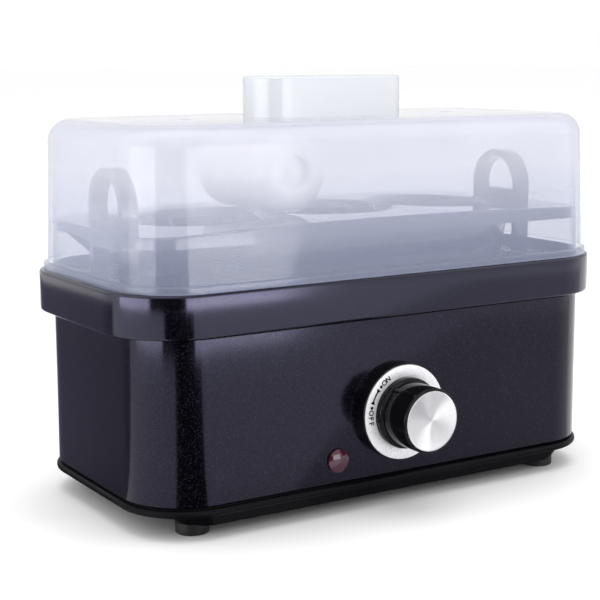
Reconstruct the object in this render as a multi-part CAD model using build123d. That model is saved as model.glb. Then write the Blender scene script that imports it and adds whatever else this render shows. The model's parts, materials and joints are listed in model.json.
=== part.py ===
from build123d import *

import os
from math import cos, radians, sin

"""Electric egg cooker: a low housing with a knob, a heated water pan, an egg tray and a frosted lid.

Millimetres. +X is to the right of the front, -Y is the front with the knob, +Z is up and the feet stand on
Z = 0. The pieces are built about the middle of the housing and then moved along Y, so that the origin lies
under the middle of the whole appliance.
"""

# Housing sleeve
body_width = 200.5
body_depth = 101.5
body_corner = 24.0
body_wall = 2.5
body_height = 59.2
post_inset_x = 38.25
post_inset_y = 16.75
post_radius = 4.2
post_height = 32.0
post_rib = 2.4

# Base plate and feet
foot_height = 4.2
foot_radius = 6.0
foot_inset_x = 20.75
foot_inset_y = 12.75
foot_stem_radius = 3.0
foot_stem_length = 4.2
base_drop = 4.3
base_wall = 2.2
base_pan_inset_x = 13.5
base_pan_inset_y = 1.6
base_pan_slope_x = 4.0
base_pan_slope_y = 1.5
base_pan_corner = 10.0
flange_reach = 1.05
flange_height = 2.7
flange_rounding = 1.2
shadow_gap = 0.8
shadow_depth = 1.0
locating_rim = 2.0
foot_cone_flare = 3.0
vent_count = 6
vent_width = 3.0
vent_length = 40.0
vent_pitch = 9.0
vent_middle_x = -30.0

# Rim band
band_height = 15.4
band_reach_x = 6.0
band_reach_y = 1.65
band_corner = 27.0
band_wall = 2.5
band_rounding = 1.2
band_web = 2.0
band_skirt_drop = 6.2
band_skirt_wall = 2.0
pan_recess = 4.6
recess_corner = 20.0
ledge_width_x = 10.2
ledge_width_y = 4.4
bead_height = 2.0
bead_wall = 1.7
hook_x = 40.0
hook_width = 10.0
hook_height = 3.0
hook_reach = 1.0

# Lid
lid_inset_x = 3.65
lid_inset_y = 1.4
lid_corner = 24.5
lid_height = 55.7
lid_draft = 1.9
lid_wall = 2.0
lid_edge_rounding = 8.0
lip_reach = 1.4
lip_height = 2.5
vent_hole_radius = 2.5
vent_hole_x = 60.0
grip_length = 67.0
grip_depth = 25.0
grip_height = 15.2
grip_wall = 2.2
grip_rounding = 1.0
grip_peg_x = 18.0
grip_peg_radius = 3.2
grip_screw_radius = 1.3

# Heating pan
pan_sheet = 1.2
pan_depth = 16.8
pan_corner = 12.0
pan_draft = 3.5
pan_rim_gap = 0.6
dish_gap = 1.3
gasket_thickness = 0.8

# Egg tray
tray_stand = 20.9
tray_plate = 3.9
tray_crown = 2.1
tray_edge = 1.0
tray_corner = 16.0
egg_seat_radius = 28.8
egg_seat_taper = 12.0
egg_seat_depth = 24.0
seat_wall = 1.8
seat_margin = 3.55
skirt_draft = 3.0
skirt_depth = 19.0
skirt_end_flat = 1.0
gusset_inset = 11.0
gusset_thickness = 2.5
gusset_height = 10.0
gusset_edge = 3.5
gusset_slope = 12.0
boss_drop = 1.8

# Tray handles
handle_inset = 9.0
handle_ribbon = 6.3
handle_outer = 28.6
handle_bar = 3.0
handle_rise = 21.1
handle_web = 5.1
leg_bridge = 4.0
notch_width = 3.6
notch_height = 2.0

# Measuring cup
cup_radius = 15.0
cup_length = 48.0
cup_wall = 1.4
cup_end_rounding = 7.0
cup_floor = 2.0
cup_recess_radius = 6.5
cup_recess_depth = 6.0
pin_radius = 0.6
pin_reach = 4.5
pin_root = 1.2

# Dial, knob and switch
dial_height = 35.9
dial_radius = 18.0
dial_thickness = 4.2
dial_peg_ring = 13.0
dial_peg_radius = 1.5
ring_inner_radius = 13.0
ring_thickness = 0.6
ring_edge = 0.4
nut_recess_radius = 8.0
nut_recess_depth = 3.2
knob_gap = 0.5
knob_length = 15.6
knob_radius = 12.0
knob_skirt_radius = 13.2
knob_skirt_height = 2.4
knob_rounding = 0.8
cap_radius = 11.0
cap_thickness = 0.8
cap_proud = 0.4
pointer_angle = 125.0
pointer_width = 1.6
pointer_rise = 0.5
shaft_radius = 3.0
shaft_flat = 2.2
shaft_root = 8.0
shaft_in_knob = 10.0
bushing_radius = 4.9
bushing_length = 5.2
switch_size = 26.0
switch_depth = 15.0
switch_tab_offset_x = 7.0
switch_tab_offset_z = 6.0
switch_tab_width = 5.0
switch_tab_thickness = 0.8
switch_tab_length = 7.0
nut_flats = 13.0
nut_thickness = 2.6

# Indicator
lens_x = -26.4
lens_height = 20.5
lens_radius = 4.35
lens_rim = 0.8
lens_dome = 1.2
lens_barrel_radius = 3.5
lens_barrel_length = 6.3
lamp_radius = 2.0
clip_radius = 5.6
clip_thickness = 0.8

# Cord gland
gland_x = 30.0
gland_height = 26.0
gland_bore = 3.6
gland_throat = 4.6
gland_thread_radius = 6.5
gland_inner_length = 9.0
gland_flange_radius = 8.5
gland_flange = 2.5
gland_nose_radius = 6.2
gland_nose = 2.5
gland_nut_flats = 16.0
gland_nut_thickness = 4.0

# Heater
spreader_inset = 18.05
spreader_half_y = 24.0
spreader_corner = 12.0
spreader_thickness = 3.0
element_radius = 3.25
element_bend = 16.0
element_end_gap = 3.75
element_pin_gap = 2.0
element_pin_radius = 1.5
element_pin_length = 9.0
clamp_x = 32.0
clamp_width = 8.0
clamp_thickness = 1.2
clamp_margin = 3.0
clamp_screw_radius = 1.5
clamp_head_radius = 2.8
clamp_head = 1.8
thermostat_radius = 8.0
thermostat_height = 10.0
thermostat_ear_x = 11.5
thermostat_ear_radius = 3.0
thermostat_ear = 1.2
thermostat_tab_x = 4.0
thermostat_tab_length = 4.0
fuse_x = -17.0
fuse_radius = 2.2
fuse_length = 14.0
fuse_clip_width = 8.0
fuse_clip_wall = 1.4

# Pan fixing
stud_inset = 10.05
stud_radius = 2.0
strap_width = 10.0
strap_thickness = 1.5
strap_drop = 7.6
stud_nut_flats = 7.0
stud_nut_thickness = 3.0
spacer_radius = 3.4
spacer_length = 5.0
stud_tail = 1.0
shield_reach = 8.0
shield_half_y = 26.0
shield_corner = 8.0
shield_sheet = 0.8
shield_window = 14.0

# Terminal block and leads
block_end_gap = 9.55
block_gap = 3.8
block_length = 32.0
block_depth = 16.0
block_height = 14.0
block_pitch = 10.0
block_screw_radius = 2.0
block_screw_depth = 3.0
block_screw_head = 2.5
lead_radius = 1.1
lead_bend = 5.0
lead_side_reach = 17.0

# Screws
screw_radius = 1.3
screw_head_radius = 3.0
screw_head = 2.2
screw_recess = 2.6
screw_grip = 12.0

# Clearances
fit_gap = 0.3
close_gap = 0.05
hole_gap = 0.1
rest_gap = 0.3
lid_fit_x = 0.65
lid_fit_y = 0.4
tray_end_gap = 2.1
tray_side_gap = 4.0
skirt_gap_x = 3.55
skirt_gap_y = 4.0


# Heights of the stack, from the table up
base_z = foot_height
flange_z = base_z + base_drop
flange_top_z = flange_z + flange_height
body_z = flange_top_z + shadow_gap
seam_z = body_z + body_height
lid_z = seam_z + band_height
lid_top_z = lid_z + lid_height
ledge_z = lid_z - pan_recess
pan_rim_z = ledge_z + gasket_thickness + pan_sheet
pan_floor_z = pan_rim_z - pan_depth
pan_under_z = pan_floor_z - pan_sheet
spreader_z = pan_under_z - spreader_thickness
element_z = spreader_z - element_radius - hole_gap
band_skirt_z = seam_z - band_skirt_drop
strap_z = band_skirt_z - strap_drop - strap_thickness
spacer_z = strap_z - stud_nut_thickness - spacer_length
shield_z = spacer_z - shield_sheet
tray_z = pan_rim_z + tray_stand
tray_under_z = tray_z - tray_plate
tray_top_z = tray_z + tray_crown
seat_z = tray_top_z - egg_seat_depth
floor_z = base_z + base_wall

# Planes of the front and the rear, measured from the middle of the housing
front_y = -body_depth / 2
front_inner_y = front_y + body_wall
rear_y = body_depth / 2
rear_inner_y = rear_y - body_wall
dial_y = front_y - dial_thickness
ring_y = dial_y - ring_thickness
knob_back_y = ring_y - knob_gap
knob_front_y = knob_back_y - knob_length
cap_y = knob_front_y - cap_proud
gland_end_y = rear_y + gland_flange + gland_nose
depth_shift = -(cap_y + gland_end_y) / 2
lamp_length = lens_barrel_length + body_wall - fit_gap


def grown(outline, by):
    half_x, half_y, corner = outline
    return (half_x + by, half_y + by, corner + by)


def lying(outline, height):
    half_x, half_y, corner = outline
    return Plane.XY.offset(height) * RectangleRounded(2 * half_x, 2 * half_y, corner)


def prism(outline, low, high):
    return extrude(lying(outline, low), high - low)


def tapered(low_outline, low, high_outline, high):
    return loft([lying(low_outline, low), lying(high_outline, high)], ruled=True)


def rod(start, end, radius):
    along = Vector(*end) - Vector(*start)
    return extrude(Plane(origin=start, z_dir=along) * Circle(radius), along.length)


def block(low, high):
    size = [b - a for a, b in zip(low, high)]
    return Pos(*low) * Box(*size, align=(Align.MIN, Align.MIN, Align.MIN))


def upright_cone(low_radius, high_radius, height):
    return Cone(low_radius, high_radius, height, align=(Align.CENTER, Align.CENTER, Align.MIN))


def hexagon(start, end, flats):
    along = Vector(*end) - Vector(*start)
    outline = RegularPolygon(flats / 2, 6, major_radius=False)
    return extrude(Plane(origin=start, z_dir=along) * outline, along.length)


def corners(x, y):
    return [(sx * x, sy * y) for sx in (-1, 1) for sy in (-1, 1)]


body = (body_width / 2, body_depth / 2, body_corner)
body_inner = grown(body, -body_wall)
band = (body_width / 2 + band_reach_x, body_depth / 2 + band_reach_y, band_corner)
lid_low = (band[0] - lid_inset_x, band[1] - lid_inset_y, lid_corner)
lid_high = grown(lid_low, -lid_draft)
recess = (
    lid_low[0] - lid_wall - lid_fit_x - bead_wall,
    lid_low[1] - lid_wall - lid_fit_y - bead_wall,
    recess_corner,
)
ledge = (recess[0] - ledge_width_x, recess[1] - ledge_width_y, recess_corner - ledge_width_y)
band_skirt = grown(body_inner, -fit_gap)
band_skirt_inner = grown(band_skirt, -band_skirt_wall)
dish = (ledge[0] - dish_gap - pan_sheet, ledge[1] - dish_gap - pan_sheet, pan_corner)
dish_floor = grown(dish, -pan_draft)
tray = (lid_low[0] - lid_wall - tray_end_gap, lid_low[1] - lid_wall - tray_side_gap, tray_corner)
skirt_half_y = dish[1] - skirt_gap_y
skirt = (dish[0] - skirt_gap_x, skirt_half_y, skirt_half_y - skirt_end_flat / 2)
base_pan_high = (body[0] - base_pan_inset_x, body[1] - base_pan_inset_y, base_pan_corner)
base_pan_low = (
    base_pan_high[0] - base_pan_slope_x,
    base_pan_high[1] - base_pan_slope_y,
    base_pan_corner - base_pan_slope_y,
)


# Places that follow the outlines
post_x = body[0] - post_inset_x
post_y = body[1] - post_inset_y
foot_x = body[0] - foot_inset_x
foot_y = body[1] - foot_inset_y
stud_x = dish_floor[0] - stud_inset
spreader_half_x = dish_floor[0] - spreader_inset
shield_half_x = stud_x + shield_reach
strap_edge = stud_x - strap_width / 2
element_left = element_bend + element_radius + element_end_gap - strap_edge
element_right = strap_edge - element_pin_gap - element_pin_length
block_x = base_pan_low[0] - base_wall - block_end_gap - block_length / 2
block_y = post_y - post_radius - block_gap - block_depth / 2
handle_x = tray[0] - handle_inset
egg_pitch = handle_x - handle_ribbon / 2 - seat_margin - egg_seat_radius


# Housing


def make_outer_housing():
    shape = prism(body, body_z, seam_z) - prism(body_inner, body_z, seam_z)
    rib_low = body_z + locating_rim + fit_gap
    post_top = body_z + post_height
    for x, y in corners(post_x, post_y):
        outward = rear_inner_y if y > 0 else front_inner_y
        near, far = sorted((y, outward))
        post = rod((x, y, body_z), (x, y, post_top), post_radius)
        rib = block((x - post_rib / 2, near, rib_low), (x + post_rib / 2, far, post_top))
        shape += post + rib
        shape -= rod((x, y, body_z), (x, y, body_z + screw_grip), screw_radius + close_gap)
    for x, y in corners(hook_x, rear_inner_y):
        shape -= hook_block(x, y, fit_gap)
    shape -= on_axis(front_inner_y, front_y, bushing_radius + hole_gap)
    for x, z in dial_pegs():
        shape -= rod((x, front_inner_y, z), (x, front_y, z), dial_peg_radius + hole_gap)
    shape -= on_lens(front_inner_y, front_y, lens_barrel_radius + hole_gap)
    shape -= on_gland(rear_inner_y, rear_y, gland_thread_radius + hole_gap)
    return shape


def hook_block(x, y, gap):
    """One snap hook of the rim band, or its pocket in the housing where gap is the clearance."""
    side = 1 if y > 0 else -1
    root = side * band_skirt[1]
    tip = side * (band_skirt[1] + hook_reach + gap)
    near, far = sorted((root, tip))
    half = hook_width / 2 + gap
    middle = (band_skirt_z + seam_z) / 2
    low = middle - hook_height / 2 - gap
    high = middle + hook_height / 2 + gap
    return block((x - half, near, low), (x + half, far, high))


def make_rim_band():
    shape = prism(band, seam_z, lid_z)
    edges = shape.faces().sort_by(Axis.Z)[0].edges() + shape.faces().sort_by(Axis.Z)[-1].edges()
    shape = fillet(edges, band_rounding)
    shape += prism(grown(recess, bead_wall), lid_z - band_rounding, lid_z + bead_height)
    shape -= prism(recess, ledge_z, lid_z + bead_height)
    shape -= prism(ledge, ledge_z - band_web, ledge_z)
    shape -= prism(grown(band, -band_wall), seam_z + band_web, ledge_z - band_web)
    shape -= prism(band_skirt_inner, seam_z, seam_z + band_web)
    shape += prism(band_skirt, band_skirt_z, seam_z) - prism(band_skirt_inner, band_skirt_z, seam_z)
    for x, y in corners(hook_x, rear_inner_y):
        shape += hook_block(x, y, 0)
    return shape


def make_base_plate():
    rim = grown(body_inner, -fit_gap)
    flange = prism(grown(body, flange_reach), flange_z, flange_top_z)
    edges = flange.faces().sort_by(Axis.Z)[0].edges() + flange.faces().sort_by(Axis.Z)[-1].edges()
    shape = fillet(edges, flange_rounding)
    shape += prism(grown(body, -shadow_depth), flange_top_z, body_z)
    shape += prism(rim, body_z, body_z + locating_rim)
    shape += tapered(base_pan_low, base_z, base_pan_high, flange_z)
    shape -= prism(grown(rim, -base_wall), flange_z + base_wall, body_z + locating_rim)
    pan_inner_low = grown(base_pan_low, -base_wall)
    pan_inner_high = grown(base_pan_high, -base_wall)
    shape -= tapered(pan_inner_low, floor_z, pan_inner_high, flange_z + base_wall)
    for x, y in corners(foot_x, foot_y):
        shape += Pos(x, y, base_z) * upright_cone(foot_radius, foot_radius + foot_cone_flare, base_drop)
        shape += rod((x, y, flange_z), (x, y, flange_z + base_wall), foot_radius)
        top = base_z + foot_stem_length + hole_gap
        shape -= rod((x, y, base_z), (x, y, top), foot_stem_radius + close_gap)
    for x, y in corners(post_x, post_y):
        shape += rod((x, y, base_z), (x, y, body_z), post_radius)
        shape -= rod((x, y, base_z), (x, y, base_z + screw_recess), screw_head_radius + fit_gap)
        shape -= rod((x, y, base_z), (x, y, body_z), screw_radius + hole_gap)
    for index in range(vent_count):
        x = vent_middle_x + (index - (vent_count - 1) / 2) * vent_pitch
        slot = Rot(0, 0, 90) * SlotOverall(vent_length, vent_width)
        shape -= extrude(Pos(x, 0, base_z) * slot, base_wall)
    return shape


def make_foot(x, y):
    pad = rod((x, y, 0), (x, y, foot_height), foot_radius)
    pad = fillet(pad.faces().sort_by(Axis.Z)[0].edges(), flange_rounding / 2)
    return pad + rod((x, y, foot_height), (x, y, foot_height + foot_stem_length), foot_stem_radius)


def make_base_screws():
    screws = []
    for x, y in corners(post_x, post_y):
        seat = base_z + screw_recess
        head = rod((x, y, seat - screw_head), (x, y, seat), screw_head_radius)
        shank = rod((x, y, seat), (x, y, body_z + screw_grip - hole_gap), screw_radius)
        screws.append(head + shank)
    return Compound(screws)


# Lid


def lid_form(inset):
    """The outside of the lid's box, or its inside where inset is the wall."""
    top = lid_top_z - inset
    form = tapered(grown(lid_low, -inset), lid_z, grown(lid_high, -inset), top)
    return fillet(form.faces().sort_by(Axis.Z)[-1].edges(), lid_edge_rounding - inset)


def make_lid_shell():
    shape = lid_form(0) + prism(grown(lid_low, lip_reach), lid_z, lid_z + lip_height)
    shape -= lid_form(lid_wall)
    for side in (-1, 1):
        x = side * vent_hole_x
        shape -= rod((x, 0, lid_top_z - lid_wall), (x, 0, lid_top_z), vent_hole_radius)
        peg_x = side * grip_peg_x
        shape -= rod((peg_x, 0, lid_top_z - lid_wall), (peg_x, 0, lid_top_z), grip_peg_radius + hole_gap)
    return shape


def make_lid_handle():
    top = lid_top_z + grip_height
    outer = extrude(Plane.XY.offset(lid_top_z) * SlotOverall(grip_length, grip_depth), grip_height)
    outer = fillet(outer.faces().sort_by(Axis.Z)[-1].edges(), grip_rounding)
    inner_outline = SlotOverall(grip_length - 2 * grip_wall, grip_depth - 2 * grip_wall)
    shape = outer - extrude(Plane.XY.offset(lid_top_z) * inner_outline, grip_height - grip_wall)
    for side in (-1, 1):
        x = side * grip_peg_x
        low = lid_top_z - lid_wall
        shape += rod((x, 0, low), (x, 0, top - grip_wall / 2), grip_peg_radius)
        shape -= rod((x, 0, low), (x, 0, top - grip_wall), grip_screw_radius + close_gap)
    return shape


def make_lid_screws():
    screws = []
    for side in (-1, 1):
        x = side * grip_peg_x
        seat = lid_top_z - lid_wall
        head = rod((x, 0, seat - screw_head), (x, 0, seat), grip_peg_radius + lid_wall)
        shank = rod((x, 0, seat), (x, 0, lid_top_z + grip_height / 2), grip_screw_radius)
        screws.append(head + shank)
    return Compound(screws)


# Heating pan and what is under it


def make_heating_pan():
    rim = (recess[0] - pan_rim_gap, recess[1] - pan_rim_gap, recess_corner - pan_rim_gap)
    shape = prism(rim, pan_rim_z - pan_sheet, pan_rim_z)
    shape += tapered(grown(dish_floor, pan_sheet), pan_under_z, grown(dish, pan_sheet), pan_rim_z)
    shape -= tapered(dish_floor, pan_floor_z, dish, pan_rim_z)
    return shape


def make_pan_gasket():
    outer = (recess[0] - pan_rim_gap, recess[1] - pan_rim_gap, recess_corner - pan_rim_gap)
    top = ledge_z + gasket_thickness
    return prism(outer, ledge_z, top) - prism(ledge, ledge_z, top)


def make_heat_spreader():
    outline = (spreader_half_x, spreader_half_y, spreader_corner)
    shape = prism(outline, spreader_z, pan_under_z)
    for x in (-clamp_x, clamp_x):
        shape -= rod((x, 0, spreader_z), (x, 0, pan_under_z), clamp_screw_radius + close_gap)
    for x in (-thermostat_ear_x, thermostat_ear_x):
        shape -= rod((x, 0, spreader_z), (x, 0, pan_under_z), clamp_screw_radius + close_gap)
    return shape


def make_heating_element():
    """A U-shaped tube with a cold pin at each end."""
    front = Line((element_right, -element_bend), (element_left, -element_bend))
    turn = ThreePointArc(
        (element_left, -element_bend), (element_left - element_bend, 0), (element_left, element_bend)
    )
    back = Line((element_left, element_bend), (element_right, element_bend))
    path = Pos(0, 0, element_z) * (front + turn + back)
    start = Plane(origin=(element_right, -element_bend, element_z), z_dir=(-1, 0, 0))
    shape = sweep(start * Circle(element_radius), path=path)
    for y in (-element_bend, element_bend):
        tip = element_right + element_pin_length
        shape += rod((element_right, y, element_z), (tip, y, element_z), element_pin_radius)
    return shape


def clamp_z():
    return element_z - element_radius - hole_gap - clamp_thickness


def make_element_clamps():
    reach = element_bend + element_radius + clamp_margin
    half = clamp_width / 2
    low = clamp_z()
    top = low + clamp_thickness
    strips = []
    for x in (-clamp_x, clamp_x):
        strip = block((x - half, -reach, low), (x + half, reach, top))
        strips.append(strip - rod((x, 0, low), (x, 0, top), clamp_screw_radius + hole_gap))
    return Compound(strips)


def make_clamp_screws():
    screws = []
    for x in (-clamp_x, clamp_x):
        head = rod((x, 0, clamp_z() - clamp_head), (x, 0, clamp_z()), clamp_head_radius)
        screws.append(head + rod((x, 0, clamp_z()), (x, 0, pan_under_z - hole_gap), clamp_screw_radius))
    return Compound(screws)


def make_thermostat():
    low = spreader_z - thermostat_height
    shape = rod((0, 0, low), (0, 0, spreader_z), thermostat_radius)
    for side in (-1, 1):
        ear_x = side * thermostat_ear_x
        ear_z = spreader_z - thermostat_ear
        shape += rod((ear_x, 0, ear_z), (ear_x, 0, spreader_z), thermostat_ear_radius)
        inner, outer = sorted((0, ear_x))
        half = thermostat_ear_radius
        shape += block((inner, -half, ear_z), (outer, half, spreader_z))
        shape -= rod((ear_x, 0, ear_z), (ear_x, 0, spreader_z), clamp_screw_radius + hole_gap)
        tab_x = side * thermostat_tab_x
        half = switch_tab_width / 2
        shape += block(
            (tab_x - switch_tab_thickness / 2, -half, low - thermostat_tab_length),
            (tab_x + switch_tab_thickness / 2, half, low),
        )
    return shape


def make_thermostat_screws():
    screws = []
    for x in (-thermostat_ear_x, thermostat_ear_x):
        seat = spreader_z - thermostat_ear
        head = rod((x, 0, seat - clamp_head), (x, 0, seat), clamp_head_radius)
        screws.append(head + rod((x, 0, seat), (x, 0, pan_under_z - hole_gap), clamp_screw_radius))
    return Compound(screws)


def fuse_axis_z():
    return spreader_z - fuse_clip_wall - fuse_radius - close_gap


def make_fuse_clip():
    half = fuse_clip_width / 2
    side = fuse_radius + close_gap + fuse_clip_wall
    x = fuse_place()
    shape = block((x - side, -half, fuse_axis_z() - side), (x + side, half, spreader_z))
    return shape - rod((x, -half, fuse_axis_z()), (x, half, fuse_axis_z()), fuse_radius + close_gap)


def fuse_place():
    return fuse_x - fuse_radius - fuse_clip_wall


def make_thermal_fuse():
    x = fuse_place()
    return rod((x, -fuse_length / 2, fuse_axis_z()), (x, fuse_length / 2, fuse_axis_z()), fuse_radius)


def make_pan_studs():
    low = shield_z - stud_nut_thickness - stud_tail
    return Compound([rod((x, 0, low), (x, 0, pan_under_z), stud_radius) for x in (-stud_x, stud_x)])


def make_bridge_straps():
    """Two straps that the stud nuts draw up against the lower edge of the rim band."""
    outer = (band_skirt[1] + band_skirt_inner[1]) / 2 + strap_thickness / 2
    straps = []
    for x in (-stud_x, stud_x):
        half = strap_width / 2
        strap = block((x - half, -outer, strap_z), (x + half, outer, strap_z + strap_thickness))
        for near, far in ((-outer, -outer + strap_thickness), (outer - strap_thickness, outer)):
            strap += block((x - half, near, strap_z), (x + half, far, band_skirt_z))
        straps.append(strap - rod((x, 0, strap_z), (x, 0, strap_z + strap_thickness), stud_radius + hole_gap))
    return Compound(straps)


def make_stud_nuts():
    nuts = []
    for x in (-stud_x, stud_x):
        for top in (strap_z, shield_z):
            nut = hexagon((x, 0, top - stud_nut_thickness), (x, 0, top), stud_nut_flats)
            nuts.append(nut - rod((x, 0, top - stud_nut_thickness), (x, 0, top), stud_radius + close_gap))
    return Compound(nuts)


def make_shield_spacers():
    spacers = []
    for x in (-stud_x, stud_x):
        tube = rod((x, 0, spacer_z), (x, 0, spacer_z + spacer_length), spacer_radius)
        spacers.append(tube - rod((x, 0, spacer_z), (x, 0, spacer_z + spacer_length), stud_radius + hole_gap))
    return Compound(spacers)


def make_heat_shield():
    shape = prism((shield_half_x, shield_half_y, shield_corner), shield_z, spacer_z)
    shape -= rod((0, 0, shield_z), (0, 0, spacer_z), shield_window)
    for x in (-stud_x, stud_x):
        shape -= rod((x, 0, shield_z), (x, 0, spacer_z), stud_radius + hole_gap)
    return shape


# Egg tray


def seat_centres():
    return [-egg_pitch, 0, egg_pitch]


def egg_seat(extra):
    """The cone of one egg seat, or its outside where extra is the wall."""
    top = egg_seat_radius + extra
    return upright_cone(top - egg_seat_taper, top, egg_seat_depth)


def crown_radius():
    return (tray[0] ** 2 + tray_crown**2) / (2 * tray_crown)


def tray_level(x):
    """Height of the tray's crowned top at a distance from its middle."""
    return tray_top_z - crown_radius() + (crown_radius() ** 2 - x**2) ** 0.5


def crowned_plate():
    """The tray's plate, flat below and gently arched from end to end above."""
    axis_z = tray_top_z - crown_radius()
    under_crown = rod((0, -2 * tray[1], axis_z), (0, 2 * tray[1], axis_z), crown_radius())
    plate = prism(tray, tray_under_z, tray_top_z + tray_edge) & under_crown
    return fillet(plate.faces().sort_by(Axis.Z)[-1].edges(), tray_edge)


def make_egg_tray():
    skirt_low = grown(skirt, -skirt_draft)
    skirt_z = tray_under_z - skirt_depth
    wall = tapered(skirt_low, skirt_z, skirt, tray_under_z)
    wall -= tapered(grown(skirt_low, -seat_wall), skirt_z, grown(skirt, -seat_wall), tray_under_z)
    shape = crowned_plate() + wall
    seats = [Pos(x, 0, seat_z) * egg_seat(seat_wall) for x in seat_centres()]
    shape += [seat & prism(tray, seat_z, tray_under_z) for seat in seats]
    for x in seat_centres():
        shape -= Pos(x, 0, seat_z) * egg_seat(0)
    for side in (-1, 1):
        shape += gusset(side)
        half_x = handle_ribbon / 2 + hole_gap
        half_y = handle_outer / 2 + hole_gap
        x = side * handle_x
        near, far = sorted((x, side * (tray[0] - gusset_edge)))
        boss_z = tray_under_z - boss_drop
        shape += block((near, -half_y, boss_z), (far, half_y, tray_under_z))
        shape -= block((x - half_x, -half_y, boss_z), (x + half_x, half_y, tray_top_z))
    return shape


def gusset(side):
    """A web under a rear corner of the tray's plate, from the skirt out to the edge."""
    y = tray[1] - gusset_inset
    corner_y = skirt[1] - skirt[2]
    wall_x = skirt[0] - skirt[2] + (skirt[2] ** 2 - (y - corner_y) ** 2) ** 0.5
    root = wall_x - seat_wall
    tip = tray[0] - gusset_edge
    low = tray_under_z - gusset_height
    outline = Polyline(
        (root, tray_under_z), (tip, tray_under_z), (tip - gusset_slope, low), (root, low), close=True
    )
    plane = Plane(origin=(0, y + gusset_thickness / 2, 0), x_dir=(1, 0, 0), z_dir=(0, -1, 0))
    web = extrude(plane * make_face(outline), gusset_thickness)
    return web if side > 0 else mirror(web, about=Plane.YZ)


def make_tray_handle(side):
    """An arched ribbon that passes through the tray's plate and stands on two legs."""
    low_x = side * handle_x - handle_ribbon / 2
    plane = Plane(origin=(low_x, 0, 0), x_dir=(0, 1, 0), z_dir=(1, 0, 0))
    outer = handle_outer / 2
    inner = outer - handle_bar
    centre_z = tray_z + handle_rise - outer
    web_z = tray_z + handle_web
    arch = Pos(0, centre_z) * Circle(outer)
    arch += Pos(0, (pan_rim_z + centre_z) / 2) * Rectangle(2 * outer, centre_z - pan_rim_z)
    arch -= Pos(0, (pan_rim_z + tray_under_z - leg_bridge) / 2) * Rectangle(
        2 * inner, tray_under_z - leg_bridge - pan_rim_z
    )
    loop = Pos(0, centre_z) * Circle(inner)
    loop -= Pos(0, web_z - outer) * Rectangle(2 * outer, 2 * outer)
    arch -= loop
    notch_z = tray_z + (handle_web - notch_height) / 2
    notch = make_face(
        Polyline(
            (-notch_width / 2, notch_z), (notch_width / 2, notch_z), (0, notch_z + notch_height), close=True
        )
    )
    return extrude(plane * (arch - notch), handle_ribbon)


# Measuring cup


def cup_axis_z():
    return tray_level(egg_pitch / 2) + rest_gap + cup_radius


def make_measuring_cup():
    x = -egg_pitch / 2
    z = cup_axis_z()
    front = -cup_length / 2
    shape = rod((x, front, z), (x, -front, z), cup_radius)
    shape = fillet(shape.faces().sort_by(Axis.Y)[0].edges(), cup_end_rounding)
    recess_end = front + cup_recess_depth
    shape -= rod((x, front, z), (x, recess_end, z), cup_recess_radius)
    shape -= rod((x, recess_end + cup_floor, z), (x, -front, z), cup_radius - cup_wall)
    return shape - rod((x, recess_end, z), (x, recess_end + pin_root, z), pin_radius + close_gap)


def make_pricking_pin():
    x = -egg_pitch / 2
    z = cup_axis_z()
    root = -cup_length / 2 + cup_recess_depth + pin_root
    shank_end = root - pin_root - pin_reach / 2
    shank = rod((x, root, z), (x, shank_end, z), pin_radius)
    tip = upright_cone(pin_radius, pin_radius / 4, pin_reach / 2)
    return shank + Plane(origin=(x, shank_end, z), z_dir=(0, -1, 0)) * tip


# Dial, knob and switch


def dial_pegs():
    angle = radians(45)
    reach = dial_peg_ring
    return [(side * reach * cos(angle), dial_height + side * reach * sin(angle)) for side in (-1, 1)]


def on_axis(near, far, radius):
    """A rod along the knob's axis between two planes."""
    return rod((0, near, dial_height), (0, far, dial_height), radius)


def make_dial_base():
    shape = on_axis(front_y, dial_y, dial_radius)
    shape = fillet(shape.faces().sort_by(Axis.Y)[0].edges(), ring_edge)
    shape += on_axis(dial_y, ring_y, ring_inner_radius - close_gap)
    shape -= on_axis(front_y, front_y - nut_recess_depth, nut_recess_radius)
    shape -= on_axis(front_y, ring_y, shaft_radius + fit_gap)
    for x, z in dial_pegs():
        shape += rod((x, front_y, z), (x, front_inner_y - hole_gap, z), dial_peg_radius)
    return shape


def make_dial_ring():
    return on_axis(dial_y, ring_y, dial_radius - ring_edge) - on_axis(dial_y, ring_y, ring_inner_radius)


def d_section(near, far, radius, flat):
    """A rod along the knob's axis with one flat on its upper side."""
    low_y, high_y = sorted((near, far))
    cut = block((-radius, low_y, dial_height + flat), (radius, high_y, dial_height + 2 * radius))
    return on_axis(near, far, radius) - cut


def make_knob():
    skirt_y = knob_back_y - knob_skirt_height
    shape = on_axis(knob_back_y, knob_front_y, knob_radius)
    shape = fillet(shape.faces().sort_by(Axis.Y)[0].edges(), knob_rounding)
    skirt = on_axis(knob_back_y, skirt_y, knob_skirt_radius)
    shape += fillet(skirt.faces().sort_by(Axis.Y)[0].edges(), knob_rounding)
    rib = block(
        (knob_radius - pointer_width, knob_front_y + knob_rounding, -pointer_width / 2),
        (knob_radius + pointer_rise, knob_back_y, pointer_width / 2),
    )
    shape += Pos(0, 0, dial_height) * Rot(0, -pointer_angle, 0) * rib
    shape -= on_axis(knob_front_y, knob_front_y + cap_thickness - cap_proud, cap_radius + close_gap)
    bore_end = knob_back_y - shaft_in_knob - hole_gap
    return shape - d_section(knob_back_y, bore_end, shaft_radius + close_gap, shaft_flat + close_gap)


def make_knob_cap():
    shape = on_axis(cap_y + cap_thickness, cap_y, cap_radius)
    return fillet(shape.faces().sort_by(Axis.Y)[0].edges(), cap_proud / 2)


def make_switch_shaft():
    root = front_inner_y + shaft_root
    tip = knob_back_y - shaft_in_knob
    return on_axis(root, knob_back_y, shaft_radius) + d_section(knob_back_y, tip, shaft_radius, shaft_flat)


def switch_back_y():
    return front_inner_y + switch_depth


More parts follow.
